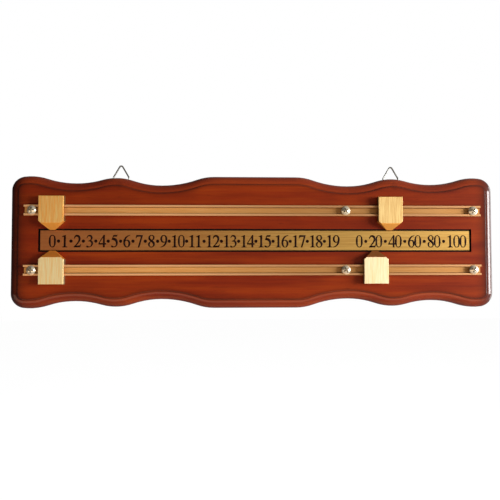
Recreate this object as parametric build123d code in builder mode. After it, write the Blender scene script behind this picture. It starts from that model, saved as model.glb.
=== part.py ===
from build123d import *
import math
import os

# Wall-hung scoreboard: a wooden board with two brass rails, four sliding pointers and an inlaid number plate.
# All lengths are in millimetres and all angles in degrees. X runs to the right along the board and Z runs up.
# The wall is the plane Y = 0 and the front looks towards -Y, so a depth is counted forward from the wall.

# Board, with the humps and valleys of its outline: the distance in from the board's end and the half height
board_length = 610.0
board_depth = 18.0
middle_hump = (253.0, 83.2)             # end of the straight stretch in the middle of each long edge
inner_valley = (187.0, 71.9)
side_hump = (130.0, 81.3)
outer_valley = (80.0, 74.2)
end_hump = (24.0, 83.0)
hump_radius = 65.0
corner_radius = 18.0

# Moulding round the board's front edge
moulding_width = 10.6
moulding_step = 1.5
moulding_shelf = 1.3
panel_arris = 0.8

# The plate and both rails sit this far above the board's middle
row_shift = 1.7

# Number plate, let into a recess
plate_inset = 35.0                      # from each end of the board, before the shift
plate_shift = 3.0                       # the plate sits this far to the right of the board's middle
plate_height = 24.9
plate_thickness = 1.5
plate_arris = 0.3
recess_depth = 3.0
recess_gap = 2.0
tape_thickness = 0.4
tape_margin = 3.0

# Rails, a channel with a flange along each edge
rail_inset = 19.5                       # from each end of the board
rail_centre = 37.1                      # height of each rail above or below the plate's middle
rail_height = 5.0
rail_inside = 8.2
rail_wall = 1.0
rail_floor = 1.0
rail_flange = 1.55
rail_arris = 0.3

# Rail screws, which also stop the pointers
end_screw_inset = 9.9                   # from each end of the rail
stop_screw_inset = 172.1                # from the rail's right end, for the screw that parts the two scales
screw_head_diameter = 11.4
screw_head_height = 3.3
screw_head_rim = 0.7
screw_shank_diameter = 4.0
screw_length = 16.5

# Strap screws
small_head_diameter = 5.6
small_head_height = 1.2
small_shank_diameter = 2.6
small_screw_length = 10.0

# Cross recess of a screw, as shares of its head
cross_reach = 0.62
cross_width = 0.13
cross_depth = 0.55

# Round work that is hidden or thin as wire, such as shanks and their holes, is drawn with flats
round_flats = 12
pilot_clearance = 0.05

# Pointers
pointer_width = 30.5
pointer_outer = 17.4                    # from the rail's centre line out to the block's outer edge
pointer_inner = 16.2                    # from the rail's centre line in to the fold, where the tip starts
pointer_front = 8.8                     # front face above the board's face
pointer_back = 0.6                      # back of the lips above the board's face
pointer_tip_width = 6.6
pointer_tip_radius = 2.0
pointer_tip_gap = 0.4                   # from the tip to the plate's long edge, seen from the front
pointer_tip_thickness = 1.4
pointer_shoulder = 2.6                  # how far back from the fold the shoulders start
pointer_arris = 0.35
slide_clearance = 0.3
pointer_insets = {                      # where each pointer rests, from the rail's nearer end
    "upper": {"units": 34.1, "twenties": 116.1},
    "lower": {"units": 34.8, "twenties": 134.7},
}

# Leaf springs and their rivets
spring_thickness = 0.3
spring_width = 6.0
spring_flat = 3.0                       # half length of the flat middle
spring_reach = 12.0                     # from the middle to each end, along the rail
rivet_diameter = 2.0
rivet_grip = 2.2
rivet_head_diameter = 3.6
rivet_head_height = 0.7

# Hangers: a wire ring in the barrel of a strap, in a pocket in the board's back
hanger_inset = 131.5                    # from each end of the board, before the shift
hanger_shift = 3.0                      # the pair sits this far to the right of the board's middle
ring_wire_diameter = 1.9
ring_bend_flats = 6                     # flats along each bend
ring_bar_drop = 2.9                     # from the top of the board's side hump down to the bar
ring_base = 24.8                        # base and height of the triangle, before its corners are rounded
ring_height = 21.2
ring_corner = 3.6
ring_apex = 2.2
strap_thickness = 0.9
strap_width = 11.4
strap_screw_drop = 9.0                  # from the bar down to the strap's screw
barrel_clearance = 0.08
pocket_clearance = 0.5                  # from the folded ring to the pocket's edges
pocket_corner = 4.0

# Derived sizes
half_length = board_length / 2
plate_length = board_length - 2 * plate_inset
half_rail = half_length - rail_inset
screw_places = (end_screw_inset - half_rail, half_rail - stop_screw_inset, half_rail - end_screw_inset)
rail_heights = (row_shift + rail_centre, row_shift - rail_centre)
rail_screw_places = [(x, height) for height in rail_heights for x in screw_places]
rail_outside = rail_inside + 2 * rail_wall
rail_width = rail_outside + 2 * rail_flange
flange_top = board_depth + rail_height
slot_ceiling = rail_height + slide_clearance
block_half = pointer_width / 2
tip_height = plate_height / 2 + pointer_tip_gap
spring_low = rail_floor + slide_clearance + spring_thickness
ring_wire_radius = ring_wire_diameter / 2
ring_bar_height = side_hump[1] - ring_bar_drop
barrel_inner = ring_wire_radius + barrel_clearance
barrel_outer = barrel_inner + strap_thickness
barrel_depth = barrel_outer + slide_clearance
pocket_depth = barrel_depth + barrel_outer
strap_face = pocket_depth - strap_thickness
ring_base_angle = math.atan2(ring_height, ring_base / 2)
ring_half_width = ring_base / 2 - ring_corner / math.tan(ring_base_angle / 2) + ring_corner
pocket_width = 2 * (ring_half_width + ring_wire_radius + pocket_clearance)
pocket_bottom = ring_bar_height - ring_height - pocket_clearance
hanger_places = (hanger_shift - half_length + hanger_inset, hanger_shift + half_length - hanger_inset)
strap_screw_height = ring_bar_height - strap_screw_drop
strap_screw_places = [(-x, strap_screw_height) for x in hanger_places]  # seen from the back

pieces = []


def keep(piece, name):
    """Labels a finished piece and notes it for writing."""
    piece.part.label = name
    pieces.append(piece.part)


def front(depth, height=0):
    """Plane facing the front, at a depth forward from the wall, with its x to the right and its y up."""
    return Plane(origin=(0, -depth, height), x_dir=(1, 0, 0), z_dir=(0, -1, 0))


def back(depth):
    """Plane facing the wall, at a depth forward from the wall, with its x to the left and its y up."""
    return Plane(origin=(0, -depth, 0), x_dir=(-1, 0, 0), z_dir=(0, 1, 0))


def across(x, height, depth):
    """Plane square to the rails at x, with its x forward from a depth and its y up from a height."""
    return Plane(origin=(x, -depth, height), x_dir=(0, -1, 0), z_dir=(-1, 0, 0))


def along(x, height, depth):
    """Level plane at a height, with its x to the right and its y forward from a depth."""
    return Plane(origin=(x, -depth, height), x_dir=(1, 0, 0), z_dir=(0, 0, -1))


def on_outline(place):
    """Point of the board's outline, from a distance in from the board's end and a half height."""
    return (half_length - place[0], place[1])


def bend_point(start, end):
    """Point where a hump's arc meets a valley's arc, on the straight line between their extremes."""
    run = end[0] - start[0]
    rise = end[1] - start[1]
    both_radii = (run**2 + rise**2) / (2 * abs(rise))
    share = hump_radius / both_radii
    if rise > 0:
        share = 1 - share
    return (start[0] + share * run, start[1] + share * rise)


# Outline of the board, drawn as one quarter and mirrored
with BuildSketch() as board_outline:
    with BuildLine():
        edge = Line((0, middle_hump[1]), on_outline(middle_hump))
        for wave in ((middle_hump, inner_valley, side_hump), (side_hump, outer_valley, end_hump)):
            hump, valley, next_hump = [on_outline(place) for place in wave]
            edge = TangentArc(edge @ 1, bend_point(hump, valley), tangent=edge % 1)
            edge = TangentArc(edge @ 1, valley, tangent=edge % 1)
            edge = TangentArc(edge @ 1, bend_point(valley, next_hump), tangent=edge % 1)
        end_drop = hump_radius - math.sqrt(hump_radius**2 - end_hump[0] ** 2)
        edge = TangentArc(edge @ 1, (half_length, end_hump[1] - end_drop), tangent=edge % 1)
        Line(edge @ 1, (half_length, 0))
        mirror(about=Plane.YZ)
        mirror(about=Plane.XZ)
    make_face()
    fillet(board_outline.vertices().group_by(SortBy.DISTANCE)[-1], corner_radius)

# Board: the moulded body, the raised panel on it, and the cuts for plate, hangers and screws
with BuildPart() as board:
    with BuildSketch(front(0)):
        add(board_outline.sketch)
    extrude(amount=board_depth - moulding_step)
    fillet(board.faces().sort_by(Axis.Y)[0].edges(), moulding_width - moulding_shelf)
    with BuildSketch(front(board_depth - 2 * moulding_step)):
        add(board_outline.sketch)
        offset(amount=-moulding_width, mode=Mode.REPLACE)
    extrude(amount=2 * moulding_step)
    chamfer(board.faces().sort_by(Axis.Y)[0].edges(), panel_arris)
    with BuildSketch(front(board_depth)):
        with Locations((plate_shift, row_shift)):
            Rectangle(plate_length + 2 * recess_gap, plate_height + 2 * recess_gap)
    extrude(amount=-recess_depth, mode=Mode.SUBTRACT)
    for x in hanger_places:
        with BuildSketch(front(0)) as pocket:
            with Locations((x, pocket_bottom)):
                Rectangle(pocket_width, board_length, align=(Align.CENTER, Align.MIN))
            fillet(pocket.vertices().group_by(Axis.Y)[0], pocket_corner)
        extrude(amount=pocket_depth, mode=Mode.SUBTRACT)
    with BuildSketch(front(board_depth)):
        with Locations(*rail_screw_places):
            RegularPolygon(screw_shank_diameter / 2 + pilot_clearance, round_flats)
    extrude(amount=rail_height - screw_length - pilot_clearance, mode=Mode.SUBTRACT)
    with BuildSketch(back(pocket_depth)):
        with Locations(*strap_screw_places):
            RegularPolygon(small_shank_diameter / 2 + pilot_clearance, round_flats)
    extrude(amount=strap_thickness - small_screw_length - pilot_clearance, mode=Mode.SUBTRACT)
keep(board, "board")

# Tape on the recess floor and the number plate on the tape
with BuildPart() as plate_tape:
    with BuildSketch(front(board_depth - recess_depth)):
        with Locations((plate_shift, row_shift)):
            Rectangle(plate_length - 2 * tape_margin, plate_height - 2 * tape_margin)
    extrude(amount=tape_thickness)
keep(plate_tape, "plate_tape")

with BuildPart() as number_plate:
    with BuildSketch(front(board_depth - recess_depth + tape_thickness)):
        with Locations((plate_shift, row_shift)):
            Rectangle(plate_length, plate_height)
    extrude(amount=plate_thickness)
    chamfer(number_plate.faces().sort_by(Axis.Y)[0].edges(), plate_arris)
keep(number_plate, "number_plate")

# Rails: one channel section each, with a hole in the floor for each screw
for name, height in zip(("upper_rail", "lower_rail"), rail_heights):
    with BuildPart() as rail:
        with BuildSketch(across(0, height, board_depth)) as section:
            Rectangle(rail_height, rail_outside, align=(Align.MIN, Align.CENTER))
            with Locations((rail_height - rail_wall, 0)):
                Rectangle(rail_wall, rail_width, align=(Align.MIN, Align.CENTER))
            fillet(section.vertices().group_by(Axis.X)[-1], rail_arris)
            with Locations((rail_floor, 0)):
                Rectangle(rail_height, rail_inside, align=(Align.MIN, Align.CENTER), mode=Mode.SUBTRACT)
        extrude(amount=half_rail, both=True)
        with BuildSketch(front(board_depth)):
            with Locations(*[(x, height) for x in screw_places]):
                RegularPolygon(screw_shank_diameter / 2 + pilot_clearance, round_flats)
        extrude(amount=rail_floor, mode=Mode.SUBTRACT)
    keep(rail, name)


# Rail screws: one group of six alike, each turned by one flat of its shank further than the one before
with BuildPart() as rail_screw:
    with BuildSketch(Plane.XZ):
        with BuildLine():
            rim_top = (screw_head_diameter / 2, screw_head_rim)
            Polyline((0, screw_head_height), (0, 0), (screw_head_diameter / 2, 0), rim_top)
            TangentArc((0, screw_head_height), rim_top, tangent=(1, 0))
        make_face()
    revolve(axis=Axis.Z)
    with BuildSketch(Plane.XY.offset(screw_head_height)):
        for turn in (0, 90):
            Rectangle(cross_reach * screw_head_diameter, cross_width * screw_head_diameter, rotation=turn)
    extrude(amount=-cross_depth * screw_head_height, mode=Mode.SUBTRACT)
    with BuildSketch():
        RegularPolygon(screw_shank_diameter / 2, round_flats)
    extrude(amount=-screw_length)
with BuildPart() as rail_screws:
    for count, (x, height) in enumerate(rail_screw_places):
        with Locations(front(flange_top) * Pos(x, height) * Rot(0, 0, count * 360 / round_flats)):
            add(rail_screw.part)
keep(rail_screws, "rail_screws")

# Pointers: a block wrapped round its rail, with its spring and rivet, four times
for row, side in (("upper", 1), ("lower", -1)):
    rail_line = row_shift + side * rail_centre
    for scale, end in (("units", -1), ("twenties", 1)):
        x = end * (half_rail - pointer_insets[row][scale])
        with BuildPart() as pointer:
            with BuildSketch(across(x, row_shift, board_depth)):
                with BuildLine():
                    Polyline(
                        (pointer_back, side * (rail_centre + pointer_outer)),
                        (pointer_front, side * (rail_centre + pointer_outer)),
                        (pointer_front, side * (rail_centre - pointer_inner)),
                        (pointer_back + pointer_tip_thickness, side * tip_height),
                        (pointer_back, side * tip_height),
                        close=True,
                    )
                make_face()
            extrude(amount=block_half, both=True)
            with BuildSketch(front(board_depth, row_shift)) as pointer_outline:
                with BuildLine():
                    right_side = Polyline(
                        (x, side * (rail_centre + pointer_outer)),
                        (x + block_half, side * (rail_centre + pointer_outer)),
                        (x + block_half, side * (rail_centre - pointer_inner + pointer_shoulder)),
                        (x + pointer_tip_width / 2, side * tip_height),
                        (x, side * tip_height),
                    )
                    mirror(right_side, about=Plane.YZ.offset(x))
                make_face()
                tip_corners = pointer_outline.vertices().group_by(Axis.Y)[0 if side > 0 else -1]
                fillet(tip_corners, pointer_tip_radius)
            extrude(amount=pointer_front, mode=Mode.INTERSECT)
            chamfer(pointer.faces().sort_by(Axis.Y)[0].edges(), pointer_arris)
            with BuildSketch(across(x, rail_line, board_depth)):
                Rectangle(slot_ceiling, rail_outside + 2 * slide_clearance, align=(Align.MIN, Align.CENTER))
                with Locations((rail_height - rail_wall - slide_clearance, 0)):
                    Rectangle(
                        rail_wall + 2 * slide_clearance,
                        rail_width + 2 * slide_clearance,
                        align=(Align.MIN, Align.CENTER),
                    )
            extrude(amount=pointer_width, both=True, mode=Mode.SUBTRACT)
            with BuildSketch(back(board_depth + slot_ceiling)):
                with Locations((-x, rail_line)):
                    RegularPolygon(rivet_diameter / 2 + pilot_clearance, round_flats)
            extrude(amount=-(rivet_grip + pilot_clearance), mode=Mode.SUBTRACT)
        keep(pointer, f"{row}_{scale}_pointer")

        with BuildPart() as spring:
            with BuildSketch(along(x, rail_line, board_depth)):
                with BuildLine():
                    half = Line((0, slot_ceiling), (spring_flat, slot_ceiling))
                    arc = TangentArc(half @ 1, (spring_reach, spring_low), tangent=half % 1)
                    mirror(about=Plane.YZ)
                    offset(amount=spring_thickness, side=Side.RIGHT)
                make_face()
            extrude(amount=spring_width / 2, both=True)
            with BuildSketch(back(board_depth + slot_ceiling)):
                with Locations((-x, rail_line)):
                    RegularPolygon(rivet_diameter / 2 + pilot_clearance, round_flats)
            extrude(amount=spring_thickness, mode=Mode.SUBTRACT)
        keep(spring, f"{row}_{scale}_spring")

        with BuildPart() as rivet:
            with BuildSketch(back(board_depth + slot_ceiling - spring_thickness)):
                with Locations((-x, rail_line)):
                    Circle(rivet_head_diameter / 2)
            extrude(amount=rivet_head_height)
            with BuildSketch(back(board_depth + slot_ceiling - spring_thickness)):
                with Locations((-x, rail_line)):
                    RegularPolygon(rivet_diameter / 2, round_flats)
            extrude(amount=-(spring_thickness + rivet_grip))
        keep(rivet, f"{row}_{scale}_rivet")

# Hangers: the strap with its barrel and the wire ring, twice
ring_line = FilletPolyline(
    (ring_base / 2, 0),
    (0, ring_height),
    (-ring_base / 2, 0),
    radius=(ring_corner, ring_apex, ring_corner),
    close=True,
)
ring_bends = ring_line.edges().filter_by(GeomType.CIRCLE)
bend_points = [bend @ (flat / ring_bend_flats) for bend in ring_bends for flat in range(ring_bend_flats + 1)]
for name, x in zip(("left", "right"), hanger_places):
    with BuildPart() as strap:
        with BuildSketch(front(strap_face)):
            with Locations((x, strap_screw_height)):
                Circle(strap_width / 2)
                Rectangle(strap_width, strap_screw_drop, align=(Align.CENTER, Align.MIN))
        extrude(amount=strap_thickness)
        with BuildSketch(across(x, ring_bar_height, barrel_depth)):
            Circle(barrel_outer)
        extrude(amount=strap_width / 2, both=True)
        with BuildSketch(across(x, ring_bar_height, barrel_depth)):
            Circle(barrel_inner)
        extrude(amount=strap_width / 2, both=True, mode=Mode.SUBTRACT)
        with BuildSketch(back(strap_face)):
            with Locations((-x, strap_screw_height)):
                RegularPolygon(small_shank_diameter / 2 + pilot_clearance, round_flats)
        extrude(amount=-strap_thickness, mode=Mode.SUBTRACT)
    keep(strap, f"hanger_strap_{name}")

    with BuildPart() as ring:
        with BuildLine(front(barrel_depth)):
            bends = [(x + point.X, ring_bar_height + point.Y) for point in bend_points]
            Polyline((x, ring_bar_height), *bends, close=True)
        with BuildSketch(across(x, ring_bar_height, barrel_depth)):
            RegularPolygon(ring_wire_radius, round_flats)
        sweep(transition=Transition.RIGHT)
    keep(ring, f"hanger_ring_{name}")

# Strap screws: one group of two alike
with BuildPart() as hanger_screws:
    with BuildSketch(back(strap_face)):
        with Locations(*strap_screw_places):
            Circle(small_head_diameter / 2)
    extrude(amount=small_head_height)
    with BuildSketch(back(strap_face)):
        with Locations(*strap_screw_places):
            RegularPolygon(small_shank_diameter / 2, round_flats)
    extrude(amount=-small_screw_length)
keep(hanger_screws, "hanger_screws")

os.makedirs("parts", exist_ok=True)
for piece in pieces:
    export_step(piece, f"parts/{piece.label}.step")
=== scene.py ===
import logging
import math
from collections.abc import Sequence
from dataclasses import dataclass, field, replace
from enum import Enum
from typing import Any

import bmesh
import bpy
from mathutils import Matrix, Vector


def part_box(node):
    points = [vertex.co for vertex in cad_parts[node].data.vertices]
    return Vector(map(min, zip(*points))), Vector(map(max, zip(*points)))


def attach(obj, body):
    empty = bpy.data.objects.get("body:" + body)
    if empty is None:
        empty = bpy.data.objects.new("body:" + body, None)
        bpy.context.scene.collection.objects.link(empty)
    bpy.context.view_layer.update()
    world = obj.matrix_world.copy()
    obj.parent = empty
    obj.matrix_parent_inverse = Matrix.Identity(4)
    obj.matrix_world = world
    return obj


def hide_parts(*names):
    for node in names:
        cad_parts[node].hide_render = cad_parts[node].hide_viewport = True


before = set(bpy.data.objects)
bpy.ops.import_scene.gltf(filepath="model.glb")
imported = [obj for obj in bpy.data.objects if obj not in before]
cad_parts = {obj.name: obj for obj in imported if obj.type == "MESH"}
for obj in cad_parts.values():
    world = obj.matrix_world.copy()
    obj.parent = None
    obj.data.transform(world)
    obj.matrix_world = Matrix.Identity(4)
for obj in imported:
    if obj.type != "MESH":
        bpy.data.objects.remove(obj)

# Wall-hung scoreboard: lacquered board, two drawn rails, four sliding pointers and an engraved number plate.
# The scene is in metres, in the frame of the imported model. Named lengths are in millimetres, and MM turns one
# into metres.
MM = 0.001
BOARD = "board"
WELD = 0.0001
SHARP_DEGREES = 35.0

# MIDDLE holds most values of a noise, WHOLE is all of a share, SOFT carries a value over smoothly, and
# CORNER_RAYS feel for corners.
MIDDLE = (0.3, 0.7)
WHOLE = (0.0, 1.0)
SOFT = "SMOOTHSTEP"
CORNER_RAYS = 8

log = logging.getLogger("scoreboard")

Pair = tuple[float, float]
Triple = tuple[float, float, float]
Colour = tuple[float, float, float, float]
Corners = tuple[Vector, Vector]
Tree = bpy.types.NodeTree
Socket = bpy.types.NodeSocket
Edges = list[bmesh.types.BMEdge]


def linear(code: str) -> Colour:
    """Turn an sRGB hex colour into linear red, green, blue and an alpha of one.

    Args:
        code: six hex digits.

    Returns:
        The linear colour.
    """
    parts = [int(code[place:place + 2], 16) / 255 for place in (0, 2, 4)]
    curved = [part / 12.92 if part <= 0.04045 else ((part + 0.055) / 1.055) ** 2.4 for part in parts]
    return *curved, 1.0


WHITE = linear("FFFFFF")


def node(
    tree: Tree,
    kind: str,
    links: dict[int | str, Any] | Sequence[Any],
    **settings: Any,
) -> bpy.types.Node:
    """Add a shader node, set it up and feed its inputs.

    Args:
        tree: node tree that takes the node.
        kind: type of the node, without the leading "ShaderNode".
        links: for each input, by name or number, its value or the output that feeds it; a sequence feeds the
            inputs in order.
        settings: properties of the node by name.

    Returns:
        The new node.
    """
    made = tree.nodes.new(f"ShaderNode{kind}")
    for name, value in settings.items():
        setattr(made, name, value)
    fed = links if isinstance(links, dict) else dict(enumerate(links))
    for key, value in fed.items():
        if isinstance(value, Socket):
            tree.links.new(value, made.inputs[key])
        else:
            made.inputs[key].default_value = value
    return made


def add_piece(
    name: str,
    shape: bmesh.types.BMesh,
    finish: bpy.types.Material,
    body: str = BOARD,
    smooth: bool = True,
) -> bpy.types.Object:
    """Make an object of a finished shape and let it ride on a body.

    Args:
        name: name of the piece.
        shape: mesh in place in the shared frame; it is freed.
        finish: material of the whole piece.
        body: body that carries the piece.
        smooth: whether faces are shaded smooth, with sharp edges kept above SHARP_DEGREES.

    Returns:
        The new object.
    """
    bmesh.ops.remove_doubles(shape, verts=shape.verts, dist=WELD * MM)
    bmesh.ops.recalc_face_normals(shape, faces=shape.faces)
    mesh = bpy.data.meshes.new(name)
    shape.to_mesh(mesh)
    shape.free()
    mesh.materials.append(finish)
    if smooth:
        mesh.shade_smooth()
        mesh.set_sharp_from_angle(angle=math.radians(SHARP_DEGREES))
    piece = bpy.data.objects.new(name, mesh)
    bpy.context.scene.collection.objects.link(piece)
    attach(piece, body)
    log.info("%s: %d faces on %s", name, len(mesh.polygons), body)
    return piece


def dress(name: str, finish: bpy.types.Material) -> None:
    """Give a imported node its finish.

    Args:
        name: name of the node.
        finish: material for all of its slots.
    """
    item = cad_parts[name]
    for slot in item.material_slots:
        slot.material = finish
    log.info("%s: dressed in %s", name, finish.name)


# Finishes


class Lay(Enum):
    """Which way the fine lines of a worked metal run, as the stretch of their pattern along X, Y and Z."""

    LENGTHWISE = (0.012, 1.0, 1.0)
    UPRIGHT = (1.0, 1.0, 0.03)
    EVEN = (1.0, 1.0, 1.0)


@dataclass(frozen=True)
class Pattern:
    """Noise whose grains have a real width in millimetres; a small stretch draws them out along an axis."""

    width: float
    stretch: Triple = Lay.EVEN.value
    detail: float = 2.0
    finer_share: float = 0.55

    def noise(self, tree: Tree, where: bpy.types.Node) -> Socket:
        """Add the pattern in object coordinates.

        Args:
            tree: node tree that takes the nodes.
            where: coordinates node.

        Returns:
            The noise value, about 0.5 on average.
        """
        scale = [1 / (self.width * MM) * part for part in self.stretch]
        placed = node(tree, "Mapping", {"Vector": where.outputs["Object"], "Scale": scale})
        grains = {"Scale": 1.0, "Detail": self.detail, "Roughness": self.finer_share}
        return node(tree, "TexNoise", {"Vector": placed.outputs[0], **grains}).outputs["Fac"]


@dataclass(frozen=True)
class Layer:
    """A colour laid over those before it, with its share at both ends of a span of values."""

    colour: str
    span: Pair
    share: Pair

    def over(self, tree: Tree, under: Socket | Colour, value: Socket) -> Socket:
        """Lay the colour over another. A Mix node's inputs 6 and 7 are its colours, and output 2 is the mix.

        Args:
            tree: node tree that takes the nodes.
            under: colour before it, or the output that gives it.
            value: value that tells where the colour lies.

        Returns:
            The new colour.
        """
        shown = node(tree, "MapRange", (value, *self.span, *self.share), interpolation_type=SOFT)
        links = {0: shown.outputs["Result"], 6: under, 7: linear(self.colour)}
        return node(tree, "Mix", links, data_type="RGBA").outputs[2]


@dataclass(frozen=True)
class Surface:
    """Start of every finish: a named material with its tree, its coordinates and its shader."""

    name: str

    def start(self, **shader: Any) -> tuple[bpy.types.Material, Tree, bpy.types.Node, bpy.types.Node]:
        """Make the material with an empty tree, its coordinates and the main shader.

        Args:
            shader: values of the shader's inputs, with spaces in their names written as underscores.

        Returns:
            The material, its tree, the coordinates node and the shader node.
        """
        material = bpy.data.materials.new(self.name)
        material.use_nodes = True
        tree = material.node_tree
        tree.nodes.clear()
        where = node(tree, "TexCoord", {})
        values = {key.replace("_", " "): value for key, value in shader.items()}
        main = node(tree, "BsdfPrincipled", values)
        node(tree, "OutputMaterial", {"Surface": main.outputs["BSDF"]})
        return material, tree, where, main


@dataclass(frozen=True, kw_only=True)
class LacqueredWood(Surface):
    """Hardwood stained mahogany by hand, and then sprayed with gloss lacquer.

    The stain gives a deep red brown that is uneven along the grain. Painted shade darkens the moulding's
    inner corner and the panel's rim beside the moulding, and the end grain is darker, partly as stain that it
    soaks up and partly as painted shade. A painted highlight lightens the shelf beside the moulding, and
    painted shade colours the plate's recess near black. The lacquer gives sharp highlights on the rounded
    edges, and its slight waves bend them.
    """

    outline: Corners
    recess: Corners
    name: str = "mahogany_stained_wood_gloss_lacquered"

    # Colours in the order in which they lie: bare wood, streaks, fibres, clouds, pores, painted shade in the
    # corner and on the rim, painted highlight on the shelf, end grain partly with painted shade, and painted
    # shade in the recess.
    bare: str = "6E1E08"
    light: Layer = Layer("A4400C", MIDDLE, WHOLE)
    even: Layer = Layer("8E2C0A", MIDDLE, (0.15, 0.75))
    shade: Layer = Layer("6E1E08", (0.42, 0.7), (0.0, 0.5))
    pore: Layer = Layer("3A0E06", (0.66, 0.8), (0.0, 0.4))
    # Painted shade: near-black brown laid in the moulding's inner corner by ambient occlusion.
    pooled: Layer = Layer("220803", (0.65, 0.92), (0.85, 0.0))
    # Painted shade: dark brown along the panel's rim, found by ambient occlusion from inside.
    rim: Layer = Layer("220803", (0.8, 0.99), (0.6, 0.0))
    # Painted highlight: a lighter orange on the narrow shelf beside the moulding.
    worn: Layer = Layer("B8562C", WHOLE, (0.0, 0.08))
    # Partly stain that the end grain soaks up, partly painted shade on the board's ends.
    soaked: str = "220803"
    # Painted shade: near black in the plate's recess, where the gap round the plate lies in shadow.
    paint: Layer = Layer("0C0402", WHOLE, WHOLE)

    # Real fibres and pores are at most 0.2 mm wide, and a pixel is 1.27 mm, so both are drawn coarser.
    streaks: Pattern = Pattern(14.0, (0.08, 0.6, 1.0), detail=3.0)
    fibres: Pattern = Pattern(2.2, (0.02, 0.6, 1.0), detail=4.0)
    clouds: Pattern = Pattern(55.0, (0.5, 1.0, 1.0), detail=2.0)
    pores: Pattern = Pattern(0.55, (0.06, 1.0, 1.0), detail=1.0)
    waves: Pattern = Pattern(18.0, (0.4, 1.0, 1.0), detail=1.0)
    wave_height: float = 0.25
    wave_strength: float = 0.25
    fibre_height: float = 0.08
    fibre_strength: float = 0.4

    # End grain is found by how far a face turns to an end, and it fades out into the panel. Its darker
    # colour is partly stain and partly painted shade on the board's ends.
    end_reach: float = 28.0
    end_share: Pair = (0.0, 0.85)
    turn_span: Pair = (0.12, 0.7)
    turn_share: Pair = (0.0, 0.9)

    # The painted shade in the recess reaches past the plate all round, and to both sides of its middle in
    # depth.
    recess_gap: float = 2.3
    recess_reach: float = 1.7
    pool_reach: float = 3.0
    shelf_depth: float = 16.5
    shelf_band: float = 0.15
    rim_reach: float = 6.0
    rim_gap: float = 12.0

    def end_grain(self, tree: Tree, where: bpy.types.Node) -> Socket:
        """Find the end grain, which soaks up more stain than the long grain does and carries painted shade.

        Args:
            tree: node tree that takes the nodes.
            where: coordinates node.

        Returns:
            Share of the darker colour, partly stain and partly painted shade: high where the surface turns
            to an end, and fading off into the face.
        """
        facing = node(tree, "SeparateXYZ", (where.outputs["Normal"],))
        turned = node(tree, "Math", (facing.outputs["X"],), operation="ABSOLUTE")
        cut = node(
            tree, "MapRange", (turned.outputs[0], *self.turn_span, *self.turn_share), interpolation_type=SOFT
        )
        parts = node(tree, "SeparateXYZ", (where.outputs["Object"],))
        out = node(tree, "Math", (parts.outputs["X"],), operation="ABSOLUTE")
        end = self.outline[1].x
        start = end - self.end_reach * MM
        near = node(tree, "MapRange", (out.outputs[0], start, end, *self.end_share), interpolation_type=SOFT)
        both = node(tree, "Math", (cut.outputs["Result"], near.outputs["Result"]), operation="MAXIMUM")
        return both.outputs[0]

    def over_recess(self, tree: Tree, where: bpy.types.Node, gap: float) -> Socket:
        """Find what lies over the plate's recess, at any depth.

        Args:
            tree: node tree that takes the nodes.
            where: coordinates node.
            gap: how far it reaches beyond the plate all round, in mm.

        Returns:
            One over the recess and zero elsewhere.
        """
        low, high = self.recess
        parts = node(tree, "SeparateXYZ", (where.outputs["Object"],))
        along, across = (
            node(
                tree,
                "Math",
                (parts.outputs[name], (low[axis] + high[axis]) / 2, (high[axis] - low[axis]) / 2 + gap * MM),
                operation="COMPARE",
            )
            for axis, name in ((0, "X"), (2, "Z"))
        )
        return node(tree, "Math", (along.outputs[0], across.outputs[0]), operation="MULTIPLY").outputs[0]

    def in_recess(self, tree: Tree, where: bpy.types.Node) -> Socket:
        """Find the plate's recess.

        Args:
            tree: node tree that takes the nodes.
            where: coordinates node.

        Returns:
            One inside the recess and zero elsewhere.
        """
        low, high = self.recess
        parts = node(tree, "SeparateXYZ", (where.outputs["Object"],))
        depth = (parts.outputs["Y"], (low.y + high.y) / 2, self.recess_reach * MM)
        deep = node(tree, "Math", depth, operation="COMPARE")
        inside = self.over_recess(tree, where, self.recess_gap)
        return node(tree, "Math", (inside, deep.outputs[0]), operation="MULTIPLY").outputs[0]

    def off_rim(self, tree: Tree, where: bpy.types.Node) -> Socket:
        """Find the rim of the panel beside the moulding, where painted shade darkens it.

        Args:
            tree: node tree that takes the nodes.
            where: coordinates node.

        Returns:
            A value that falls below one towards the panel's outer arris, but not round the recess.
        """
        reach = {"Distance": self.rim_reach * MM}
        arris = node(tree, "AmbientOcclusion", reach, samples=CORNER_RAYS, only_local=True, inside=True)
        kept = self.over_recess(tree, where, self.rim_gap)
        return node(tree, "Math", (arris.outputs["AO"], kept), operation="MAXIMUM").outputs[0]

    def on_shelf(self, tree: Tree, where: bpy.types.Node) -> Socket:
        """Find the narrow shelf between the panel and the moulding.

        Args:
            tree: node tree that takes the nodes.
            where: coordinates node.

        Returns:
            One on the shelf and zero elsewhere.
        """
        parts = node(tree, "SeparateXYZ", (where.outputs["Object"],))
        level = (parts.outputs["Y"], -self.shelf_depth * MM, self.shelf_band * MM)
        return node(tree, "Math", level, operation="COMPARE").outputs[0]

    def build(self) -> bpy.types.Material:
        """Make the stained wood and its lacquer.

        Returns:
            The material.
        """
        material, tree, where, main = self.start(
            Roughness=0.42,
            IOR=1.5,
            Specular_IOR_Level=0.1,
            Coat_Weight=0.6,
            Coat_Roughness=0.06,
            Coat_IOR=1.5,
        )
        # Painted shade in the moulding's inner corner, found by ambient occlusion.
        reach = {"Distance": self.pool_reach * MM}
        corner = node(tree, "AmbientOcclusion", reach, samples=CORNER_RAYS, only_local=True)
        fibres = self.fibres.noise(tree, where)
        laid = (
            (self.light, self.streaks.noise(tree, where)),
            (self.even, fibres),
            (self.shade, self.clouds.noise(tree, where)),
            (self.pore, self.pores.noise(tree, where)),
            (self.pooled, corner.outputs["AO"]),
            (self.rim, self.off_rim(tree, where)),
            (self.worn, self.on_shelf(tree, where)),
        )
        stain = linear(self.bare)
        for layer, value in laid:
            stain = layer.over(tree, stain, value)
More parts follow.
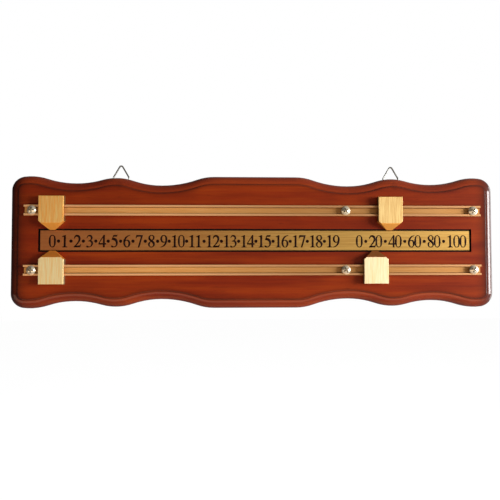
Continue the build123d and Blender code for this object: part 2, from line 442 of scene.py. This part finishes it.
        # The end grain darkens, partly as stain and partly as painted shade.
        soaked = {0: self.end_grain(tree, where), 6: stain, 7: linear(self.soaked)}
        stain = node(tree, "Mix", soaked, data_type="RGBA").outputs[2]
        # Painted shade: the recess is coloured near black.
        stain = self.paint.over(tree, stain, self.in_recess(tree, where))
        tree.links.new(stain, main.inputs["Base Color"])
        bumps = (
            ("Coat Normal", self.waves.noise(tree, where), self.wave_height, self.wave_strength),
            ("Normal", fibres, self.fibre_height, self.fibre_strength),
        )
        for name, noise, height, strength in bumps:
            bump = node(tree, "Bump", {"Height": noise, "Distance": height * MM, "Strength": strength})
            tree.links.new(bump.outputs["Normal"], main.inputs[name])
        return material


@dataclass(frozen=True)
class WorkedMetal(Surface):
    """Metal whose surface keeps the fine lines or the grain of the tool that made it.

    The lines catch the light as thin bright and dark streaks, and a slow mottle stands for handling. Painted
    shade darkens the inner corners, in the colour of the mottle. A painted highlight may lighten the fronts at
    one depth, painted shade may darken one end, and painted shade may colour the ground bevels and the sides.
    """

    dark: str
    light: str
    metallic: float = 1.0
    roughness: Pair = (0.3, 0.45)

    # Tool marks are about 0.05 mm wide, and are drawn at 0.35 mm and up to show in the render.
    lay: Lay = Lay.EVEN
    line: float = 0.35
    line_detail: float = 2.0
    relief: float = 0.02
    relief_strength: float = 0.6

    cloud: float = 9.0
    cloud_detail: float = 3.0
    # Colour of the mottle, also used for the painted shade in inner corners.
    tarnish: str = "5A2E0C"
    tarnish_span: Pair = (0.5, 0.8)
    tarnish_share: float = 0.0
    # Painted shade: the mottle's colour laid in inner corners found by ambient occlusion.
    corner_reach: float = 1.6
    corner_span: Pair = (0.55, 0.95)
    corner_share: float = 0.0

    # The painted shade along X has its full share at the first place along X and none at the second.
    toned: str = "8A5A2E"
    toned_share: float = 0.0
    toned_places: Pair = (-280.0, 120.0)

    # Bevels are found by how far a face turns up or down, and sides by how far it turns left or right; both
    # carry painted shade.
    bevel: str = "F4A638"
    bevel_span: Pair = (0.1, 0.2)
    bevel_share: float = 0.0
    # Painted shade: brown on the sides, the faces turned left or right.
    side: str = "5A2A10"
    side_span: Pair = (0.75, 0.95)
    side_share: float = 0.0
    # Painted highlight: a pale gold on the fronts at one depth.
    front: str = "FFC892"
    front_depth: float = 23.0
    front_band: float = 0.1
    front_share: float = 0.0

    def by_place(self, tree: Tree, where: bpy.types.Node, colour: Socket) -> Socket:
        """Lay on the painted highlight on the fronts and the painted shade along X.

        Args:
            tree: node tree that takes the nodes.
            where: coordinates node.
            colour: colour before them.

        Returns:
            The new colour.
        """
        # Painted highlight on the fronts at one depth.
        if self.front_share:
            parts = node(tree, "SeparateXYZ", (where.outputs["Object"],))
            level = (parts.outputs["Y"], -self.front_depth * MM, self.front_band * MM)
            front = node(tree, "Math", level, operation="COMPARE")
            colour = Layer(self.front, WHOLE, (0.0, self.front_share)).over(tree, colour, front.outputs[0])
        # Painted shade that grows along X.
        if self.toned_share:
            parts = node(tree, "SeparateXYZ", (where.outputs["Object"],))
            first, last = (place * MM for place in self.toned_places)
            toned = Layer(self.toned, (first, last), (self.toned_share, 0.0))
            colour = toned.over(tree, colour, parts.outputs["X"])
        return colour

    def by_facing(self, tree: Tree, where: bpy.types.Node, colour: Socket) -> Socket:
        """Lay on the painted shade of the bevels, the sides and the inner corners.

        Args:
            tree: node tree that takes the nodes.
            where: coordinates node.
            colour: colour before them.

        Returns:
            The new colour.
        """
        # Painted shade on the bevels and the sides, by how far each face turns.
        bevel = Layer(self.bevel, self.bevel_span, (0.0, self.bevel_share))
        side = Layer(self.side, self.side_span, (0.0, self.side_share))
        for axis, layer in (("Z", bevel), ("X", side)):
            if any(layer.share):
                facing = node(tree, "SeparateXYZ", (where.outputs["Normal"],))
                turned = node(tree, "Math", (facing.outputs[axis],), operation="ABSOLUTE")
                colour = layer.over(tree, colour, turned.outputs[0])
        if self.corner_share:
            reach = {"Distance": self.corner_reach * MM}
            corner = node(tree, "AmbientOcclusion", reach, samples=CORNER_RAYS, only_local=True)
            # Painted shade in the inner corners.
            dull = Layer(self.tarnish, self.corner_span, (self.corner_share, 0.0))
            colour = dull.over(tree, colour, corner.outputs["AO"])
        return colour

    def build(self) -> bpy.types.Material:
        """Make the metal.

        Returns:
            The material.
        """
        material, tree, where, main = self.start(Metallic=self.metallic)
        lines = Pattern(self.line, self.lay.value, self.line_detail).noise(tree, where)
        clouds = Pattern(self.cloud, self.lay.value, self.cloud_detail).noise(tree, where)
        colour = Layer(self.light, MIDDLE, WHOLE).over(tree, linear(self.dark), lines)
        if self.tarnish_share:
            tarnish = Layer(self.tarnish, self.tarnish_span, (0.0, self.tarnish_share))
            colour = tarnish.over(tree, colour, clouds)
        colour = self.by_place(tree, where, colour)
        colour = self.by_facing(tree, where, colour)
        tree.links.new(colour, main.inputs["Base Color"])
        rough = node(tree, "MapRange", (clouds, *MIDDLE, *self.roughness), interpolation_type=SOFT)
        tree.links.new(rough.outputs["Result"], main.inputs["Roughness"])
        relief = {"Height": lines, "Distance": self.relief * MM, "Strength": self.relief_strength}
        tree.links.new(node(tree, "Bump", relief).outputs["Normal"], main.inputs["Normal"])
        return material


@dataclass(frozen=True)
class FilledEnamel(Surface):
    """Black enamel wiped into the engraving.

    It is duller than the metal round it, and brown where the wiping left it thin, so the figures look soft.
    """

    name: str = "black_enamel_wiped"
    colour: str = "180401"
    thin: Layer = Layer("321004", (0.4, 0.75), (0.0, 0.5))
    patches: Pattern = Pattern(0.8)

    def build(self) -> bpy.types.Material:
        """Make the enamel.

        Returns:
            The material.
        """
        material, tree, where, main = self.start(Roughness=0.6, IOR=1.5, Specular_IOR_Level=0.08)
        colour = self.thin.over(tree, linear(self.colour), self.patches.noise(tree, where))
        tree.links.new(colour, main.inputs["Base Color"])
        return material


@dataclass(frozen=True)
class FoamTape(Surface):
    """White foam tape, moulded with closed cells.

    The cells give it a dull and finely pitted look, and are drawn at 0.5 mm, a little coarser than real ones.
    """

    name: str = "white_foam_tape"
    colour: str = "DCDAD2"
    shade: Layer = Layer("BDBAB0", (0.35, 0.7), WHOLE)
    cells: Pattern = Pattern(0.5, detail=1.0)

    def build(self) -> bpy.types.Material:
        """Make the tape.

        Returns:
            The material.
        """
        material, tree, where, main = self.start(Roughness=0.9, IOR=1.45)
        colour = self.shade.over(tree, linear(self.colour), self.cells.noise(tree, where))
        tree.links.new(colour, main.inputs["Base Color"])
        return material


# Brass drawn through a die: faint lines along the rail and a satin sheen, with a painted highlight on the
# fronts of the flanges, painted shade in the inner corners and painted shade darker towards the right.
RAIL_BRASS = WorkedMetal(
    name="brass_cold_drawn",
    dark="F0AE5E",
    light="FFCA80",
    metallic=0.75,
    roughness=(0.52, 0.57),
    lay=Lay.LENGTHWISE,
    relief=0.006,
    tarnish_share=0.1,
    corner_share=0.85,
    toned_share=0.64,
    toned_places=(120.0, -160.0),
    front_share=0.85,
)

# Brass sheet sanded along its length: an even dull gold, with painted shade in copper red towards the left.
PLATE_BRASS = WorkedMetal(
    name="brass_sheet_sanded",
    dark="B68C46",
    light="CEA65A",
    metallic=0.85,
    roughness=(0.46, 0.52),
    lay=Lay.LENGTHWISE,
    line=0.9,
    relief=0.008,
    tarnish="8A5A24",
    tarnish_share=0.25,
    toned="C0683E",
    toned_share=0.72,
)

# Brass brushed upright: soft bright faces, with painted shade of a deeper gold on the ground bevels and of
# brown on the sawn sides. The four pointers are copies of one brass in painted light and shade: the upper
# ones a deeper gold than the lower ones, and those for the twenties paler.
UPPER_POINTER_BRASS = WorkedMetal(
    name="brass_brushed_upright_painted_shade",
    dark="FFB454",
    light="FFDA88",
    metallic=0.65,
    roughness=(0.56, 0.64),
    lay=Lay.UPRIGHT,
    line=0.6,
    cloud=5.0,
    tarnish="B8803A",
    tarnish_share=0.3,
    bevel_share=0.75,
    side_share=0.8,
)
UPPER_TWENTIES_BRASS = replace(
    UPPER_POINTER_BRASS,
    name="brass_brushed_upright_painted_light",
    dark="D8AE6A",
    light="F2D694",
    metallic=0.75,
)
LOWER_POINTER_BRASS = replace(
    UPPER_POINTER_BRASS,
    name="brass_brushed_upright_pale_painted_light",
    dark="FFDA92",
    light="FFF2BE",
    metallic=0.6,
    tarnish="C89A58",
    tarnish_share=0.1,
    bevel="E0861E",
    bevel_share=0.95,
)
LOWER_TWENTIES_BRASS = replace(
    LOWER_POINTER_BRASS,
    name="brass_brushed_upright_painted_light_pale",
    dark="F4DCA6",
    light="FFF0CC",
    metallic=0.75,
    tarnish_share=0.3,
    bevel="9A5414",
)

# Brass headed cold in a die: smooth, with a soft sheen.
RIVET_BRASS = WorkedMetal(name="brass_cold_headed", dark="B98A48", light="D9AE6A", roughness=(0.3, 0.4))

# Cold-headed steel, nickel-plated: small sharp glints on the domes, and painted shade in brown in the cross
# recesses.
NICKEL = WorkedMetal(
    name="steel_nickel_plated",
    dark="ECDCBC",
    light="FFF2D8",
    metallic=0.8,
    roughness=(0.26, 0.36),
    line=1.2,
    relief=0.003,
    cloud=2.0,
    tarnish="6A5430",
    tarnish_share=0.15,
    corner_reach=1.5,
    corner_share=0.9,
)

# Stamped steel, zinc-plated in a barrel: a cool grey with dull clouds.
ZINC = WorkedMetal(
    name="steel_zinc_plated",
    dark="A9ADB0",
    light="C6C9CB",
    line=0.8,
    tarnish="8F9296",
    tarnish_share=0.4,
)

# Steel wire drawn bright: a thin clean highlight along each leg.
WIRE_STEEL = WorkedMetal(
    name="steel_wire_bright_drawn",
    dark="7E7D78",
    light="A09F98",
    roughness=(0.28, 0.42),
    relief=0.005,
)

# Spring strip rolled cold: smooth grey with fine lines along the strip.
SPRING_STEEL = WorkedMetal(
    name="spring_steel_cold_rolled",
    dark="8D8F92",
    light="B0B2B4",
    roughness=(0.25, 0.38),
    lay=Lay.LENGTHWISE,
)


# Sub-assemblies


@dataclass(frozen=True)
class Lamp:
    """Soft area lamp: its middle, the point that it faces, its width and height, and its power in watts."""

    name: str
    place: Triple
    target: Triple
    size: Pair
    power: float
    colour: str = "FFFFFF"

    def hang(self) -> None:
        """Add the lamp to the scene, unseen by the camera."""
        data = bpy.data.lights.new(self.name, "AREA")
        data.shape = "RECTANGLE"
        data.size, data.size_y = (side * MM for side in self.size)
        data.energy = self.power
        data.color = linear(self.colour)[:3]
        lamp = bpy.data.objects.new(self.name, data)
        lamp.location = Vector(self.place) * MM
        way = Vector(self.target) - Vector(self.place)
        lamp.rotation_euler = way.to_track_quat("-Z", "Y").to_euler()
        lamp.visible_camera = False
        bpy.context.scene.collection.objects.link(lamp)


@dataclass
class Studio:
    """Camera, lamps, surroundings and floor.

    The camera's place and turn come from a pinhole camera fitted to the rails, the plate and the screws.
    """

    focal_pixels: float = 571.9
    picture_pixels: float = 500.0
    sensor: float = 36.0
    clip_start: float = 10.0
    yaw: float = 2.136
    pitch: float = 2.145
    roll: float = -0.074
    place: Triple = (-33.48, -733.91, -37.18)

    # The surroundings grow brighter to the right, and above and below the level of the object.
    right_span: Pair = (-0.7, 0.7)
    right_level: Pair = (0.05, 1.0)
    steep_span: Pair = (0.12, 0.5)
    steep_level: Pair = (0.06, 0.34)

    # The floor glows to look white to the camera. Full white in reflections would lay a pale haze on the
    # lacquer, so they see only a small share of it.
    mirrored_white: float = 0.05
    floor_mirrored: float = 0.12
    floor_glow: float = 0.93
    floor_grey: str = "999999"
    floor_drop: float = 600.0
    floor_size: float = 12000.0

    # A large panel at the right lights the fronts, a small one picks out the right end, a long warm one in
    # front and below softens the shadows, and a faint warm one lights the bottom moulding from below.
    lamps: tuple[Lamp, ...] = (
        Lamp("key", (1880, -890, 50), (300, 0, 0), (1110, 660), 63.0),
        Lamp("edge", (850, 150, 0), (300, 0, 0), (380, 600), 2.5),
        Lamp("low", (-400, -1000, -400), (-200, 0, 0), (3000, 420), 5.2, "FFE0C0"),
        Lamp("under", (-50, -60, -500), (-50, 0, 0), (900, 300), 0.5, "FFB468"),
    )

    def aim_camera(self) -> None:
        """Place the camera at the photograph's angle."""
        yaw, pitch, roll = (math.radians(angle) for angle in (self.yaw, self.pitch, self.roll))
        level = math.cos(pitch)
        ahead = Vector((math.sin(yaw) * level, math.cos(yaw) * level, math.sin(pitch)))
        level_right = ahead.cross(Vector((0, 0, 1))).normalized()
        level_up = level_right.cross(ahead)
        right = math.cos(roll) * level_right + math.sin(roll) * level_up
        up = math.cos(roll) * level_up - math.sin(roll) * level_right
        data = bpy.data.cameras.new("camera")
        data.sensor_fit = "HORIZONTAL"
        data.sensor_width = self.sensor
        data.lens = self.sensor * self.focal_pixels / self.picture_pixels
        data.clip_start = self.clip_start * MM
        camera = bpy.data.objects.new("camera", data)
        turned = Matrix((right, up, -ahead)).transposed().to_4x4()
        camera.matrix_world = Matrix.Translation(Vector(self.place) * MM) @ turned
        bpy.context.scene.collection.objects.link(camera)
        bpy.context.scene.camera = camera

    def whiteness(self, tree: Tree, share: float, full: float) -> Socket:
        """Find how white something is for each kind of ray.

        Args:
            tree: node tree that takes the nodes.
            share: whiteness in reflections and through clear things.
            full: whiteness to the camera.

        Returns:
            The whiteness, which is zero for the rays that light other surfaces.
        """
        ray = node(tree, "LightPath", {}).outputs
        mirrored = node(tree, "Math", (ray["Is Glossy Ray"], ray["Is Transmission Ray"]), operation="ADD")
        faint = node(tree, "Math", (mirrored.outputs[0], share), operation="MULTIPLY")
        links = (ray["Is Camera Ray"], full, faint.outputs[0])
        return node(tree, "Math", links, operation="MULTIPLY_ADD").outputs[0]

    def surround(self) -> None:
        """Make the surroundings white to the camera, and brighter at the right than at the left otherwise."""
        world = bpy.data.worlds.new("surroundings")
        bpy.context.scene.world = world
        world.use_nodes = True
        tree = world.node_tree
        tree.nodes.clear()
        where = node(tree, "TexCoord", {})
        parts = node(tree, "SeparateXYZ", (where.outputs["Generated"],))
        rightward = (parts.outputs["X"], *self.right_span, *self.right_level)
        sideways = node(tree, "MapRange", rightward, interpolation_type=SOFT)
        steep = node(tree, "Math", (parts.outputs["Z"],), operation="ABSOLUTE")
        upward = (steep.outputs[0], *self.steep_span, *self.steep_level)
        overhead = node(tree, "MapRange", upward, interpolation_type=SOFT)
        both = (sideways.outputs["Result"], overhead.outputs["Result"])
        strength = node(tree, "Math", both, operation="MULTIPLY")
        white = self.whiteness(tree, self.mirrored_white, 1.0)
        level = node(tree, "Mix", {0: white, 2: strength.outputs[0], 3: 1.0})
        shine = node(tree, "Background", {"Color": WHITE, "Strength": level.outputs[0]})
        node(tree, "OutputWorld", {"Surface": shine.outputs[0]})

    def lay_floor(self) -> None:
        """Lay a plain pale floor that looks white beside the object's soft shadow."""
        shape = bmesh.new()
        bmesh.ops.create_grid(shape, x_segments=1, y_segments=1, size=self.floor_size / 2 * MM)
        bmesh.ops.translate(shape, verts=shape.verts, vec=(0, 0, -self.floor_drop * MM))
        mesh = bpy.data.meshes.new("floor")
        shape.to_mesh(mesh)
        shape.free()
        material = bpy.data.materials.new("matt_white_floor")
        material.use_nodes = True
        tree = material.node_tree
        tree.nodes.clear()
        matt = node(tree, "BsdfDiffuse", {"Color": linear(self.floor_grey)})
        level = self.whiteness(tree, self.floor_mirrored, self.floor_glow)
        glow = node(tree, "Emission", {"Color": WHITE, "Strength": level})
        both = node(tree, "AddShader", (matt.outputs[0], glow.outputs[0]))
        node(tree, "OutputMaterial", {"Surface": both.outputs[0]})
        mesh.materials.append(material)
        floor = bpy.data.objects.new("floor", mesh)
        bpy.context.scene.collection.objects.link(floor)

    def build(self) -> None:
        """Set up the whole studio."""
        bpy.context.scene.view_settings.view_transform = "Standard"
        self.aim_camera()
        self.surround()
        self.lay_floor()
        for lamp in self.lamps:
            lamp.hang()
        log.info("studio: camera, lamps, surroundings and floor")


@dataclass
class Numerals:
    """Upright figures and dots, filled almost flush into the number plate.

    A figure is one or more flat outlines in hundredths of its height, and a point marked True is smooth.
    """

    height: float = 15.1
    advance: float = 0.55
    drop: float = 1.0
    proud: float = 0.02
    depth: float = 0.2
    dot: float = 4.1
    dot_sides: int = 20
    embolden: float = 0.012
    arc_steps: int = 5
    singles: Pair = (-252.1, -114.5)
    teens: Pair = (-96.8, 98.1)
    twenties: Pair = (131.6, 256.4)
    outlines: dict[str, list[list[tuple]]] = field(default_factory=dict)

    def __post_init__(self) -> None:
        """Draw the ten figures. The nine is the six turned about."""
        smooth = True
        width, height = 56, 100
        six = [
            [(54, 101), (54, 97.5), (38, 90, smooth), (24, 75, smooth), (17, 55.5), (31, 61.5, smooth),
             (48, 54, smooth), (56, 32, smooth), (47, 8, smooth), (28, -1, smooth), (8, 10, smooth),
             (0, 39, smooth), (8, 70, smooth), (29, 93, smooth)],
            [(16, 50, smooth), (27, 55.5, smooth), (38, 47, smooth), (42, 29, smooth), (38, 10, smooth),
             (29, 3.5, smooth), (18, 12, smooth), (14, 32, smooth)],
        ]
        self.outlines = {
            "0": [
                [(0, 50, smooth), (28, 101, smooth), (56, 50, smooth), (28, -1, smooth)],
                [(14, 50, smooth), (28, 96.5, smooth), (42, 50, smooth), (28, 3.5, smooth)],
            ],
            "1": [
                [(8, 0), (48, 0), (48, 3.5), (38, 6, smooth), (35, 13), (35, 100.5), (31, 100.5), (7, 88.5),
                 (8.5, 85), (17, 87.5, smooth), (21, 81), (21, 13), (18, 6, smooth), (8, 3.5)],
            ],
            "2": [
                [(0, 0), (52, 0), (58, 24), (54.5, 24), (50, 15, smooth), (42, 12.5), (17, 12.5),
                 (36, 33, smooth), (51, 56, smooth), (54, 74, smooth), (46, 93, smooth), (27, 101, smooth),
                 (9, 93, smooth), (2, 72), (5.5, 71), (12, 83, smooth), (22, 88, smooth), (35, 83, smooth),
                 (40, 70, smooth), (36, 50, smooth), (22, 28, smooth), (0, 3)],
            ],
            "3": [
                [(4, 78), (7, 77), (14, 88, smooth), (23, 91, smooth), (34, 86, smooth), (38.5, 75, smooth),
                 (33, 60, smooth), (17, 52), (17, 49), (30, 48, smooth), (39, 40, smooth), (42, 27, smooth),
                 (36, 10, smooth), (23, 4.5, smooth), (15, 7, smooth), (8, 12, smooth), (2, 9, smooth),
                 (4, 1, smooth), (16, -1, smooth), (42, 8, smooth), (55, 32, smooth), (50, 48, smooth),
                 (38, 58), (47, 66, smooth), (51, 79, smooth), (44, 94, smooth), (28, 101, smooth),
                 (13, 95, smooth)],
            ],
            "4": [
                [(36, 0), (49.5, 0), (49.5, 23), (60, 23), (60, 33.5), (49.5, 33.5), (49.5, 101), (41, 101),
                 (0, 34), (0, 23), (36, 23)],
                [(36, 33.5), (36, 84), (5.5, 33.5)],
            ],
            "5": [
                [(20, 100), (47, 100), (52, 103), (47, 88), (21, 88), (17, 77), (38, 72, smooth),
                 (52, 54, smooth), (54, 33, smooth), (44, 9, smooth), (19, -1, smooth), (5, 2, smooth),
                 (1, 9, smooth), (6, 13.5, smooth), (14, 9.5, smooth), (24, 5, smooth), (37, 12, smooth),
                 (41, 30, smooth), (34, 50, smooth), (18, 60, smooth), (5, 62)],
            ],
            "6": six,
            "7": [
                [(5, 100), (57, 100), (57, 97), (29, -1), (18, -1), (43, 87.5), (18, 87.5, smooth),
                 (8, 84, smooth), (4.5, 75), (1, 76)],
            ],
            "8": [
                [(28, 101, smooth), (45, 95, smooth), (52, 79, smooth), (47, 66, smooth), (38, 55.5, smooth),
                 (49, 44, smooth), (55, 27, smooth), (46, 7, smooth), (28, -1, smooth), (9, 6, smooth),
                 (1, 24, smooth), (7, 39, smooth), (18, 48.5, smooth), (8, 60, smooth), (3, 76, smooth),
                 (10, 93, smooth)],
                [(28, 97, smooth), (38, 91, smooth), (41, 79, smooth), (37, 66, smooth), (31, 60.5, smooth),
                 (20, 69, smooth), (15, 81, smooth), (19, 92, smooth)],
                [(23, 45, smooth), (35, 36, smooth), (42, 22, smooth), (38, 8, smooth), (28, 3, smooth),
                 (16, 9, smooth), (13, 24, smooth), (16, 36, smooth)],
            ],
            "9": [[(width - across, height - up, *mark) for across, up, *mark in outline] for outline in six],
        }

    def figure_mesh(self, figure: str) -> bpy.types.Mesh:
        """Fill one figure's outlines.

        Args:
            figure: a digit.

        Returns:
            A flat mesh in the XY plane, its height one.
        """
        curve = bpy.data.curves.new(f"figure_{figure}", "CURVE")
        curve.dimensions = "2D"
        curve.fill_mode = "BOTH"
        curve.resolution_u = self.arc_steps
        curve.offset = self.embolden
        for outline in self.outlines[figure]:
            spline = curve.splines.new("BEZIER")
            spline.bezier_points.add(len(outline) - 1)
            spline.use_cyclic_u = True
            for knot, (across, up, *smooth) in zip(spline.bezier_points, outline):
                knot.co = (across / 100, up / 100, 0)
                knot.handle_left_type = knot.handle_right_type = "AUTO" if smooth else "VECTOR"
        drawn = bpy.data.objects.new(curve.name, curve)
        bpy.context.scene.collection.objects.link(drawn)
        bpy.context.view_layer.update()
        evaluated = drawn.evaluated_get(bpy.context.evaluated_depsgraph_get())
        mesh = bpy.data.meshes.new_from_object(evaluated)
        bpy.data.objects.remove(drawn)
        bpy.data.curves.remove(curve)
        return mesh

    def rows(self) -> list[tuple[list[str], Pair]]:
        """List the labels of each part of the scales.

        Returns:
            For each part its labels and the middles of its first and last label.
        """
        return [
            ([str(count) for count in range(10)], self.singles),
            ([str(count) for count in range(10, 20)], self.teens),
            ([str(count) for count in range(0, 101, 20)], self.twenties),
        ]

    def build(self, finish: bpy.types.Material) -> None:
        """Set all labels and dots along the plate as one inlay.

        Args:
            finish: material of the filling.
        """
        low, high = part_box("number_plate")
        face = low.y
        base = (low.z + high.z) / 2 - (self.drop + self.height / 2) * MM
        figures = {figure: self.figure_mesh(figure) for figure in self.outlines}
        step = self.advance * self.height
        shape = bmesh.new()
        edges = []
        for labels, (first, last) in self.rows():
            widths = [len(label) * step for label in labels]
            middles = sum(widths) - (widths[0] + widths[-1]) / 2
            gap = (last - first - middles) / (len(labels) - 1)
            left = first - widths[0] / 2
            for label, width in zip(labels, widths):
                edges.append((left, left + width))
                for count, figure in enumerate(label):
                    start = len(shape.verts)
                    shape.from_mesh(figures[figure])
                    fresh = shape.verts[start:]
                    bmesh.ops.scale(shape, vec=[self.height * MM] * 3, verts=fresh)
                    bmesh.ops.translate(shape, verts=fresh, vec=((left + count * step) * MM, 0, 0))
                left += width + gap
        # No dot stands between the two scales.
        parted = len(self.rows()[0][0]) + len(self.rows()[1][0])
        for count, (before, after) in enumerate(zip(edges, edges[1:]), start=1):
            if count == parted:
                continue
            middle = Matrix.Translation(((before[1] + after[0]) / 2 * MM, self.height / 2 * MM, 0))
            bmesh.ops.create_circle(
                shape, cap_ends=True, segments=self.dot_sides, radius=self.dot / 2 * MM, matrix=middle
            )
        lifted = bmesh.ops.extrude_face_region(shape, geom=shape.faces[:])["geom"]
        tops = [item for item in lifted if isinstance(item, bmesh.types.BMVert)]
        bmesh.ops.translate(shape, verts=tops, vec=(0, 0, (self.depth + self.proud) * MM))
        upright = Matrix.Rotation(math.radians(90), 4, "X")
        place = Matrix.Translation((0, face + self.depth * MM, base)) @ upright
        bmesh.ops.transform(shape, matrix=place, verts=shape.verts)
        add_piece("numerals", shape, finish, smooth=False)


@dataclass
class WireRing:
    """Hanging ring of bent wire: a bar in the strap's barrel and two legs that meet in a narrow bend."""

    side: str
    base: float = 24.8
    height: float = 21.2
    corner: float = 3.6
    apex: float = 2.2
    sides: int = 20
    bend_steps: int = 12
    weld: float = 0.01

    def run(self, shape: bmesh.types.BMesh, ring: Edges, along: Vector) -> Edges:
        """Draw the wire straight on.

        Args:
            shape: mesh of the wire.
            ring: open end of the wire.
            along: way and length of the run.

        Returns:
            The new open end.
        """
        drawn = bmesh.ops.extrude_edge_only(shape, edges=ring)["geom"]
        ends = [item for item in drawn if isinstance(item, bmesh.types.BMVert)]
        bmesh.ops.translate(shape, verts=ends, vec=along)
        edges = [item for item in drawn if isinstance(item, bmesh.types.BMEdge)]
        return [edge for edge in edges if all(end in ends for end in edge.verts)]

    def bend(self, shape: bmesh.types.BMesh, ring: Edges, centre: Vector, angle: float) -> Edges:
        """Bend the wire on about a centre.

        Args:
            shape: mesh of the wire.
            ring: open end of the wire.
            centre: centre of the bend.
            angle: angle of the bend.

        Returns:
            The new open end.
        """
        turned = bmesh.ops.spin(
            shape,
            geom=ring,
            cent=centre,
            axis=(0, -1, 0),
            angle=angle,
            steps=self.bend_steps,
            use_merge=False,
        )["geom_last"]
        return [item for item in turned if isinstance(item, bmesh.types.BMEdge)]

    def build(self, finish: bpy.types.Material) -> None:
        """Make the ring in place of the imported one.

        Args:
            finish: material of the wire.
        """
        low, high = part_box(f"hanger_ring_{self.side}")
        radius = (high.y - low.y) / 2
        middle = Vector(((low.x + high.x) / 2, (low.y + high.y) / 2, low.z + radius))
        lean = math.atan2(self.height, self.base / 2)
        corner_run = self.corner / math.tan(lean / 2)
        apex_half = math.pi / 2 - lean
        apex_run = self.apex / math.tan(apex_half)
        leg = (math.hypot(self.height, self.base / 2) - corner_run - apex_run) * MM
        bar = (self.base / 2 - corner_run) * MM
        corner_rise = Vector((0, 0, self.corner * MM))
        bar_half = Vector((bar, 0, 0))
        apex_centre = middle + Vector((0, 0, (self.height - self.apex / math.sin(apex_half)) * MM))
        shape = bmesh.new()
        turned = Matrix.Translation(middle) @ Matrix.Rotation(math.radians(90), 4, "Y")
        bmesh.ops.create_circle(shape, segments=self.sides, radius=radius, matrix=turned)
        ring = self.run(shape, shape.edges[:], bar_half)
        ring = self.bend(shape, ring, middle + bar_half + corner_rise, math.pi - lean)
        ring = self.run(shape, ring, leg * Vector((-math.cos(lean), 0, math.sin(lean))))
        ring = self.bend(shape, ring, apex_centre, math.pi - 2 * apex_half)
        ring = self.run(shape, ring, leg * Vector((-math.cos(lean), 0, -math.sin(lean))))
        ring = self.bend(shape, ring, middle - bar_half + corner_rise, math.pi - lean)
        self.run(shape, ring, bar_half)
        bmesh.ops.remove_doubles(shape, verts=shape.verts, dist=self.weld * MM)
        piece = add_piece(f"wire_ring_{self.side}", shape, finish, body=f"ring_{self.side}")
        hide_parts(f"hanger_ring_{self.side}")


@dataclass
class Board:
    """Solid board with its stepped moulding, and the recess that holds the plate."""

    name: str = BOARD
    plate: str = "number_plate"

    def build(self) -> None:
        """Stain and lacquer the board, and colour its recess near black as painted shade."""
        wood = LacqueredWood(outline=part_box(self.name), recess=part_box(self.plate))
        dress(self.name, wood.build())


@dataclass
class Rails:
    """Both channel rails, and the screws that hold them and stop the pointers."""

    rails: tuple[str, ...] = ("upper_rail", "lower_rail")
    screws: str = "rail_screws"

    def build(self) -> None:
        """Dress the rails and their screws."""
        brass = RAIL_BRASS.build()
        for name in self.rails:
            dress(name, brass)
        dress(self.screws, NICKEL.build())


@dataclass
class NumberPlate:
    """Brass strip taped into the board's recess, with its engraved figures filled."""

    plate: str = "number_plate"
    tape: str = "plate_tape"
    numerals: Numerals = field(default_factory=Numerals)

    def build(self) -> None:
        """Dress the plate and its tape, and fill the engraving."""
        dress(self.plate, PLATE_BRASS.build())
        dress(self.tape, FoamTape().build())
        self.numerals.build(FilledEnamel().build())


@dataclass
class Pointers:
    """Four sliding pointers, each a brass block with a leaf spring and the rivet that holds it."""

    blocks: tuple[tuple[str, WorkedMetal], ...] = (
        ("upper_units", UPPER_POINTER_BRASS),
        ("upper_twenties", UPPER_TWENTIES_BRASS),
        ("lower_units", LOWER_POINTER_BRASS),
        ("lower_twenties", LOWER_TWENTIES_BRASS),
    )

    def build(self) -> None:
        """Dress each pointer's block, spring and rivet."""
        spring = SPRING_STEEL.build()
        rivet = RIVET_BRASS.build()
        for name, brass in self.blocks:
            dress(f"{name}_pointer", brass.build())
            dress(f"{name}_spring", spring)
            dress(f"{name}_rivet", rivet)


@dataclass
class Hangers:
    """Two strap hangers in the back, each with its wire ring, and the screws that hold them."""

    sides: tuple[str, ...] = ("left", "right")
    screws: str = "hanger_screws"

    def build(self) -> None:
        """Dress the straps and screws, and bend the rings."""
        zinc = ZINC.build()
        wire = WIRE_STEEL.build()
        for side in self.sides:
            dress(f"hanger_strap_{side}", zinc)
            WireRing(side).build(wire)
        dress(self.screws, zinc)


def main() -> None:
    """Build the studio and each sub-assembly of the scoreboard."""
    logging.basicConfig(level=logging.INFO, format="%(name)s: %(message)s")
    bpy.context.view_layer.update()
    for assembly in (Studio(), Board(), Rails(), NumberPlate(), Pointers(), Hangers()):
        assembly.build()
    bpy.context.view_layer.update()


if __name__ == "__main__":
    main()
